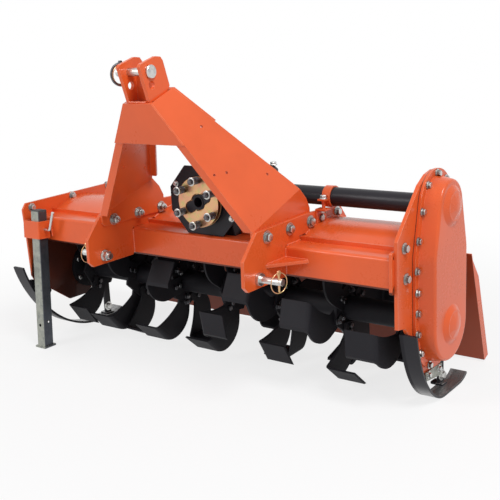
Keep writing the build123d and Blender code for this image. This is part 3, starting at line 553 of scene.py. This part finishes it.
class RotavatorSizes(bpy.types.PropertyGroup):
    """Sizes of the small hardware."""

    frame_bolt: bpy.props.FloatProperty(
        name="Frame bolt", description="Across the flats of the frame bolts", default=0.024, unit="LENGTH")
    case_bolt: bpy.props.FloatProperty(
        name="Case bolt", description="Across the flats of the case bolts", default=0.017, unit="LENGTH")
    spring_wire: bpy.props.FloatProperty(
        name="Spring wire", description="Wire of the clutch springs", default=0.0045, unit="LENGTH")
    weld: bpy.props.FloatProperty(
        name="Weld bead", description="Height of the weld beads", default=0.0045, unit="LENGTH")


class RotavatorColours(bpy.types.PropertyGroup):
    """Colours of the paints and platings."""

    orange: bpy.props.FloatVectorProperty(
        name="Orange", description="Frame enamel", subtype="COLOR", default=(0.78, 0.115, 0.025))
    black: bpy.props.FloatVectorProperty(
        name="Black", description="Rotor and skid enamel", subtype="COLOR", default=(0.016, 0.015, 0.02))
    zinc: bpy.props.FloatVectorProperty(
        name="Zinc", description="Bright plated bolts", subtype="COLOR", default=(0.66, 0.66, 0.64))
    yellow_zinc: bpy.props.FloatVectorProperty(
        name="Yellow zinc", description="Clutch plates", subtype="COLOR", default=(0.66, 0.44, 0.2))
    galvanised: bpy.props.FloatVectorProperty(
        name="Galvanised", description="Stand tube", subtype="COLOR", default=(0.34, 0.35, 0.3))


FINISHES = {}


class ROTAVATOR_OT_finishes(bpy.types.Operator):
    """Paint and plate the nodes of the CAD model"""

    bl_idname = "rotavator.finishes"
    bl_label = "Finishes"

    def execute(self, context):
        FINISHES.update(make_finishes(context.scene.rotavator_colours))
        dress_nodes(FINISHES)
        return {"FINISHED"}


class ROTAVATOR_OT_frame_bolts(bpy.types.Operator):
    """Bolts and nuts of the hitch plates, end plates and mast"""

    bl_idname = "rotavator.frame_bolts"
    bl_label = "Frame bolts"

    def execute(self, context):
        flats = context.scene.rotavator_sizes.frame_bolt
        washer = flats * 0.86
        parts = []
        for y in MAST_BOLTS_Y:
            parts += hex_bolt(place(HITCH_OUT, y, 570), X_RIGHT, flats, 0.013, washer)
            parts += hex_bolt(place(LEG_IN, y, 570), -X_RIGHT, flats, 0.016, washer, 0.5, 0.008)
            parts += hex_bolt(place(-HITCH_OUT, y, 570), -X_RIGHT, flats, 0.013, washer)
            parts += hex_bolt(place(-LEG_IN, y, 570), X_RIGHT, flats, 0.016, washer, 0.7, 0.008)
        for y in BRACKET_BOLTS_Y:
            parts += hex_bolt(place(HITCH_OUT, y, 572), X_RIGHT, flats * 0.9, 0.012, washer * 0.9)
            parts += hex_bolt(place(-HITCH_OUT, y, 572), -X_RIGHT, flats * 0.9, 0.012, washer * 0.9)
        for y, z in LEFT_PLATE_BOLTS:
            parts += hex_bolt(place(LEFT_PLATE_IN, y, z), X_RIGHT, flats * 0.85, 0.012, washer * 0.85)
            parts += hex_bolt(place(LEFT_PLATE_OUT, y, z), -X_RIGHT, flats * 0.85, 0.01, washer * 0.85)
        for y, z in RIGHT_PLATE_BOLTS:
            parts += hex_bolt(place(RIGHT_PLATE_OUT, y, z), X_RIGHT, flats * 0.85, 0.012, washer * 0.85)
        add_piece("frame_bolts", parts, FINISHES["bolt_zinc"], "frame")
        return {"FINISHED"}


class ROTAVATOR_OT_case_bolts(bpy.types.Operator):
    """Bolts round the flange of the gear case, and its plugs"""

    bl_idname = "rotavator.case_bolts"
    bl_label = "Case bolts"

    def execute(self, context):
        flats = context.scene.rotavator_sizes.case_bolt
        parts = []
        front = [(AXIS - reach, z) for reach, z in CASE_BOLTS]
        back = [(AXIS + reach, z) for reach, z in CASE_BOLTS]
        for i, (y, z) in enumerate(front + back + [(455, 130), (345, 130)]):
            parts += hex_bolt(place(CASE_FLANGE, y, z), X_RIGHT, flats, 0.009, flats * 0.8, i * 0.7)
        parts += hex_bolt(place(CASE_FLANGE, AXIS, 736), X_RIGHT, flats, 0.012, flats * 0.8)
        add_piece("case_bolts", parts, FINISHES["bolt_zinc"], "frame")
        return {"FINISHED"}


class ROTAVATOR_OT_case_domes(bpy.types.Operator):
    """Facetted peaks pressed into the gear case cover over its two bosses"""

    bl_idname = "rotavator.case_domes"
    bl_label = "Case domes"

    def execute(self, context):
        parts = []
        peak = [(-0.002, 0), (-0.002, 0.052), (0.0115, 0.047), (0.0195, 0.018), (0.0205, 0.012), (0.0205, 0)]
        for height in (ROTOR, DRIVE):
            parts.append(turned(peak, place(COVER_FACE, AXIS, height), X_RIGHT, 8, math.radians(22.5)))
        add_piece("case_domes", parts, FINISHES["orange_paint"], "frame", sharp=12.0)
        return {"FINISHED"}


class ROTAVATOR_OT_clutch_springs(bpy.types.Operator):
    """Coil springs on the clutch bolts, with their caps, nuts and thread ends"""

    bl_idname = "rotavator.clutch_springs"
    bl_label = "Clutch springs"

    def execute(self, context):
        wire = context.scene.rotavator_sizes.spring_wire / 2
        parts, caps = [], []
        for k in range(6):
            angle = math.radians(CLUTCH_START + 60 * k)
            foot = place(CLUTCH_RING * math.cos(angle), CLUTCH_FACE, DRIVE + CLUTCH_RING * math.sin(angle))
            parts.append(coil(foot - Y_BACK * 0.0015, -Y_BACK, 0.0106, wire, 4.6, 0.028))
            shank = [(0, 0), (0, 0.0058), (0.0435, 0.0058), (0.0447, 0.0046), (0.0447, 0)]
            parts.append(turned(shank, foot, -Y_BACK, 14))
            cap = [(0.0295, 0), (0.0295, 0.0135), (0.0305, 0.0148), (0.0335, 0.0148), (0.0342, 0.0136),
                   (0.0342, 0.0112), (0.0328, 0.0106), (0.0328, 0)]
            caps.append(turned(cap, foot, -Y_BACK, 24))
            nut = [(0.0325, 0), (0.0325, 0.0098), (0.041, 0.0098), (0.0422, 0.0086), (0.0422, 0)]
            parts.append(turned(nut, foot, -Y_BACK, 6, 0.4 * k))
        add_piece("clutch_spring_set", parts, FINISHES["spring_steel"], "clutch",
                  ("clutch_springs",))
        add_piece("clutch_spring_caps", caps, FINISHES["bright_zinc"], "clutch")
        return {"FINISHED"}


def linch_pin(centre, turn, radius, wire, sag=0.003):
    """Linch pin through an upright cross hole: tapered pin, flat head and a sprung ring round the hitch pin.
    The ring is centre + radius*(cos t*h + sin t*Z), where h lies level and is turned from the Y axis. The
    head is the rounded square |y / 6.5|^4 + |z / 9|^4 = 1, in mm."""
    shank = [(-0.034, 0), (-0.031, 0.0034), (0.018, 0.0041), (0.024, 0.0041), (0.024, 0)]
    parts = [turned(shank, centre, Z_UP, 12)]
    h = np.array((math.sin(turn), math.cos(turn), 0.0))
    t = np.linspace(0, 2 * np.pi, 18, endpoint=False)
    head = np.stack((0.0065 * np.sign(np.cos(t)) * np.abs(np.cos(t)) ** 0.5,
                     0.009 * np.sign(np.sin(t)) * np.abs(np.sin(t)) ** 0.5 + 0.027), 1)
    out = np.cross(h, Z_UP)
    parts.append(slab(head, centre - out * 0.003, h, Z_UP, 0.006))
    t = np.linspace(0, 2 * np.pi, 56, endpoint=False)[:, None]
    ring = centre - Z_UP * sag + radius * (np.cos(t) * h + np.sin(t) * Z_UP)
    parts.append(carried(ring, wire, 8, closed=True))
    return parts


class ROTAVATOR_OT_linch_pins(bpy.types.Operator):
    """Linch pins with their rings in the three hitch pins"""

    bl_idname = "rotavator.linch_pins"
    bl_label = "Linch pins"

    def execute(self, context):
        parts = linch_pin(place(PIN_HOLE, 0, PIN), 0.25, 0.0315, 0.0016)
        parts += linch_pin(place(-PIN_HOLE, 0, PIN), -0.1, 0.0315, 0.0016)
        add_piece("lower_linch_pins", parts, FINISHES["yellow_zinc"], "frame")
        parts = linch_pin(place(-73, -100, 1082), 0.3, 0.0335, 0.0038, 0.006)
        add_piece("top_linch_pin", parts, FINISHES["spring_steel"], "frame")
        parts = linch_pin(place(-78, -100, 1082), 0.1, 0.028, 0.0024, 0.008)[-1:]
        add_piece("top_linch_ring", parts, FINISHES["yellow_zinc"], "frame")
        return {"FINISHED"}


class ROTAVATOR_OT_tine_bolts(bpy.types.Operator):
    """Two bolts through the foot of every tine, with nuts where the far side of the flange is free"""

    bl_idname = "rotavator.tine_bolts"
    bl_label = "Tine bolts"

    def execute(self, context):
        parts = []
        for flange in range(FLANGES):
            x = FIRST_FLANGE + flange * (LAST_FLANGE - FIRST_FLANGE) / (FLANGES - 1)
            right = RIGHT_TURNS[flange] if flange < FLANGES - 1 else None
            left = LEFT_TURNS[flange - 1] if flange > 0 else None
            sides = ((right, left, x + FLANGE_T + TINE_T, x, X_RIGHT),
                     (left, right, x - TINE_T, x + FLANGE_T, -X_RIGHT))
            for turn, other, face, far, way in sides:
                if turn is None:
                    continue
                gap = 60.0 if other is None else abs((turn - other + 60) % 120 - 60)
                for k in range(3):
                    a = math.radians(turn + 120 * k)
                    for reach in TINE_BOLT_RADII:
                        y, z = AXIS - reach * math.sin(a), ROTOR + reach * math.cos(a)
                        parts += hex_bolt(place(face, y, z), way, TINE_BOLT, 0.0085, 0.0, a)
                        if gap > CLEAR_GAP:
                            parts += hex_bolt(place(far, y, z), -way, TINE_BOLT, 0.0095, 0.0115, a, 0.005)
        add_piece("tine_bolts", parts, FINISHES["spring_steel"], "rotor")
        return {"FINISHED"}


class ROTAVATOR_OT_small_bolts(bpy.types.Operator):
    """Bolts of the skids, bearing, gear box, clamp and beam flange"""

    bl_idname = "rotavator.small_bolts"
    bl_label = "Small bolts"

    def execute(self, context):
        parts = []
        # Each row: place, axis, across the flats, washer radius
        spots = [((719, 490, 40), X_RIGHT, 0.022, 0.02), ((709, 490, 170), -X_RIGHT, 0.022, 0.019),
                 ((709, 300, 200), -X_RIGHT, 0.018, 0.015), ((709, 268, 226), -X_RIGHT, 0.018, 0.015),
                 ((-885, 500, 170), -X_RIGHT, 0.022, 0.019), ((-875, 500, 40), X_RIGHT, 0.022, 0.02),
                 ((-885, 168, 210), -X_RIGHT, 0.018, 0.015), ((-885, 132, 238), -X_RIGHT, 0.018, 0.015),
                 ((-867, 500, 170), X_RIGHT, 0.02, 0.017),
                 ((737, 352, 92), X_RIGHT, 0.015, 0.012), ((737, 428, 88), X_RIGHT, 0.015, 0.012),
                 ((361, 351.5, 638), Z_UP, 0.02, 0.014), ((361, 351.5, 600), -Z_UP, 0.018, 0.014),
                 ((80, 470, 720), Z_UP, 0.02, 0.014)]
        for spot, axis, flats, washer in spots:
            parts += hex_bolt(place(*spot), axis, flats, flats * 0.5, washer)
        for k in range(6):
            a = math.radians(30 + 60 * k)
            carrier = place(-853, AXIS + 78 * math.cos(a), ROTOR + 78 * math.sin(a))
            parts += hex_bolt(carrier, X_RIGHT, 0.017, 0.008)
            tube_flange = place(114, AXIS + 53 * math.cos(a), DRIVE + 53 * math.sin(a))
            parts += hex_bolt(tube_flange, X_RIGHT, 0.016, 0.008)
        for x in (-66, 66):
            for y in (334, 466):
                parts += hex_bolt(place(x, y, 720), Z_UP, 0.014, 0.007)
        for x, z in ((-118, 690), (118, 690), (-118, 586), (118, 586)):
            parts += hex_bolt(place(x, 166, z), -Y_BACK, 0.014, 0.007, 0.0105)
        add_piece("small_bolts", parts, FINISHES["bright_zinc"], "frame")
        return {"FINISHED"}


def hood_height(y):
    """Height in mm of the hood's outer skin at y behind the lower pins: its flat front, and on the roll
    rotor height + sqrt(HOOD_R^2 - (AXIS - y)^2)."""
    return max(HOOD_FLAT, ROTOR + math.sqrt(HOOD_R**2 - (AXIS - y) ** 2))


class ROTAVATOR_OT_welds(bpy.types.Operator):
    """Weld beads of the hitch plates, gussets, clevis, beam flange and stand bracket"""

    bl_idname = "rotavator.welds"
    bl_label = "Welds"

    def execute(self, context):
        height = context.scene.rotavator_sizes.weld
        small = height * 0.8
        on_hood = range(266, 522, 8)
        parts = []
        for side in (1, -1):
            parts.append(weld([place(side * 341.6, y, 520.5) for y in BEAM_TOP], height))
            for x in (341.6, 328.4):
                parts.append(weld([place(side * x, y, hood_height(y) + 0.5) for y in on_hood], height))
                parts.append(weld([place(side * x, BEAM_FRONT, z) for z in (428, 514)], height))
            for z in GUSSET_FACES:
                parts.append(weld([place(side * 341.5, y, z) for y in (46, 148)], small))
            for z in GUSSET_FACES:
                parts.append(weld([place(side * x, BEAM_FRONT, z) for x in (345, 424)], small))
        parts.append(weld([place(x, -112.5, 992) for x in (-36, 36)], small))
        parts.append(weld([place(709, BEAM_FRONT, z) for z in (426, 512)], small))
        parts.append(weld([place(709, y, 520.5) for y in BEAM_TOP], small))
        parts.append(weld([place(-777.5, 149, z) for z in (444, 508)], small))
        add_piece("welds", parts, FINISHES["weld"], "frame", sharp=70.0)
        return {"FINISHED"}


class ROTAVATOR_OT_stage(bpy.types.Operator):
    """Pale floor, soft lamps, white surroundings and the camera"""

    bl_idname = "rotavator.stage"
    bl_label = "Stage"

    def execute(self, context):
        make_floor()
        make_world()
        make_lamps()
        make_camera()
        return {"FINISHED"}


# Stage

FLOOR_WHITE = 0.78
FLOOR_FADE = (0.9, 2.4)
WORLD_LIGHT = 0.34


def make_floor():
    """Flat sheet under the object: pale and shaded close by, and plain white to the camera further off."""
    reach = 30.0
    mesh = bpy.data.meshes.new("floor")
    mesh.from_pydata([(-reach, -reach, 0), (reach, -reach, 0), (reach, reach, 0), (-reach, reach, 0)], [],
                     [(0, 1, 2, 3)])
    floor = bpy.data.objects.new("floor", mesh)
    bpy.context.scene.collection.objects.link(floor)
    made = Finish("floor_paper", Roughness=0.85)
    made.shader.inputs["Specular IOR Level"].default_value = 0.2
    far = made.where.node("ShaderNodeVectorMath", {"operation": "LENGTH"}, {0: made.where}, output=1)
    grain = made.where.noise(8.0, 3.0, 0.5)
    made.feed("Base Color", blend(grain, (0.86, 0.86, 0.87, 1.0), (0.88, 0.88, 0.89, 1.0)))
    light = made.start.node("ShaderNodeEmission", {}, {"Color": (1.0, 1.0, 1.0, 1.0), "Strength": 1.0})
    paper = Wire(made.tree, made.shader.outputs[0])
    white = (far.step(*FLOOR_FADE) * (1 - FLOOR_WHITE) + FLOOR_WHITE) * seen_directly(made.start)
    mixed = made.start.node("ShaderNodeMixShader", {}, {0: white, 1: paper, 2: light})
    made.tree.links.new(mixed.socket, made.tree.nodes["Material Output"].inputs[0])
    mesh.materials.append(made.material)


def seen_directly(start):
    """1 for rays from the camera and for mirrored or refracted ones, 0 for the rays that light things."""
    rays = start.node("ShaderNodeLightPath", {}, {}, output=0)
    outputs = rays.socket.node.outputs
    camera, glossy, through = (Wire(start.tree, outputs[n]) for n in
                               ("Is Camera Ray", "Is Glossy Ray", "Is Transmission Ray"))
    return (camera + glossy + through).clamped()


def make_world():
    world = bpy.data.worlds.new("surroundings")
    bpy.context.scene.world = world
    world.use_nodes = True
    tree = world.node_tree
    start = Wire(tree, None)
    strength = WORLD_LIGHT + seen_directly(start) * (1 - WORLD_LIGHT)
    tree.nodes["Background"].inputs["Color"].default_value = (1.0, 1.0, 1.0, 1.0)
    tree.links.new(strength.socket, tree.nodes["Background"].inputs["Strength"])


def make_lamps():
    """Soft key from the right and above, a weak fill from the left."""
    for name, spot, aim, size, watts in (("key", (3.2, -1.3, 4.8), (0.1, 0.0, 0.4), 2.0, 180.0),
                                         ("fill", (-2.4, -4.2, 3.2), (-0.2, 0.0, 0.5), 2.4, 95.0)):
        lamp = bpy.data.lights.new(name, "AREA")
        lamp.shape = "DISK"
        lamp.size = size
        lamp.energy = watts
        held = bpy.data.objects.new(name, lamp)
        held.location = spot
        held.rotation_euler = (Vector(aim) - Vector(spot)).to_track_quat("-Z", "Y").to_euler()
        bpy.context.scene.collection.objects.link(held)


CAMERA_SPOT = (1.9086, -2.3469, 1.1672)
CAMERA_AZIMUTH = 37.33
CAMERA_ELEVATION = 13.89
CAMERA_ROLL = -2.92
CAMERA_LENS = 61.89


def make_camera():
    """Camera at the photograph's place: it looks along azimuth and elevation and is rolled a little."""
    azimuth, elevation, roll = (math.radians(a) for a in (CAMERA_AZIMUTH, CAMERA_ELEVATION, CAMERA_ROLL))
    back = Vector((math.sin(azimuth) * math.cos(elevation), -math.cos(azimuth) * math.cos(elevation),
                   math.sin(elevation)))
    right = (-back).cross(Vector((0, 0, 1))).normalized()
    up = right.cross(-back)
    tilted = right * math.cos(roll) + up * math.sin(roll)
    upright = up * math.cos(roll) - right * math.sin(roll)
    lens = bpy.data.cameras.new("camera")
    lens.lens = CAMERA_LENS
    lens.sensor_width = 36.0
    held = bpy.data.objects.new("camera", lens)
    held.matrix_world = Matrix((tilted, upright, back)).transposed().to_4x4()
    held.location = CAMERA_SPOT
    bpy.context.scene.collection.objects.link(held)
    bpy.context.scene.camera = held
    bpy.context.scene.view_settings.view_transform = "Standard"


class ROTAVATOR_PT_panel(bpy.types.Panel):
    """Sizes, colours and steps of the rotavator's finish"""

    bl_idname = "ROTAVATOR_PT_panel"
    bl_label = "Rotavator"
    bl_space_type = "VIEW_3D"
    bl_region_type = "UI"
    bl_category = "Rotavator"

    def draw(self, context):
        for group in (context.scene.rotavator_sizes, context.scene.rotavator_colours):
            for name in group.__annotations__:
                self.layout.prop(group, name)
        for step in STEPS:
            self.layout.operator(step.bl_idname)


STEPS = (ROTAVATOR_OT_finishes, ROTAVATOR_OT_frame_bolts, ROTAVATOR_OT_case_bolts, ROTAVATOR_OT_case_domes,
         ROTAVATOR_OT_clutch_springs,
         ROTAVATOR_OT_linch_pins, ROTAVATOR_OT_tine_bolts, ROTAVATOR_OT_small_bolts, ROTAVATOR_OT_welds,
         ROTAVATOR_OT_stage)
CLASSES = (RotavatorSizes, RotavatorColours, *STEPS, ROTAVATOR_PT_panel)


def register():
    for each in CLASSES:
        bpy.utils.register_class(each)
    bpy.types.Scene.rotavator_sizes = bpy.props.PointerProperty(type=RotavatorSizes)
    bpy.types.Scene.rotavator_colours = bpy.props.PointerProperty(type=RotavatorColours)


def unregister():
    del bpy.types.Scene.rotavator_sizes
    del bpy.types.Scene.rotavator_colours
    for each in reversed(CLASSES):
        bpy.utils.unregister_class(each)


def main():
    register()
    for step in STEPS:
        group, name = step.bl_idname.split(".")
        getattr(getattr(bpy.ops, group), name)()


if __name__ == "__main__":
    main()
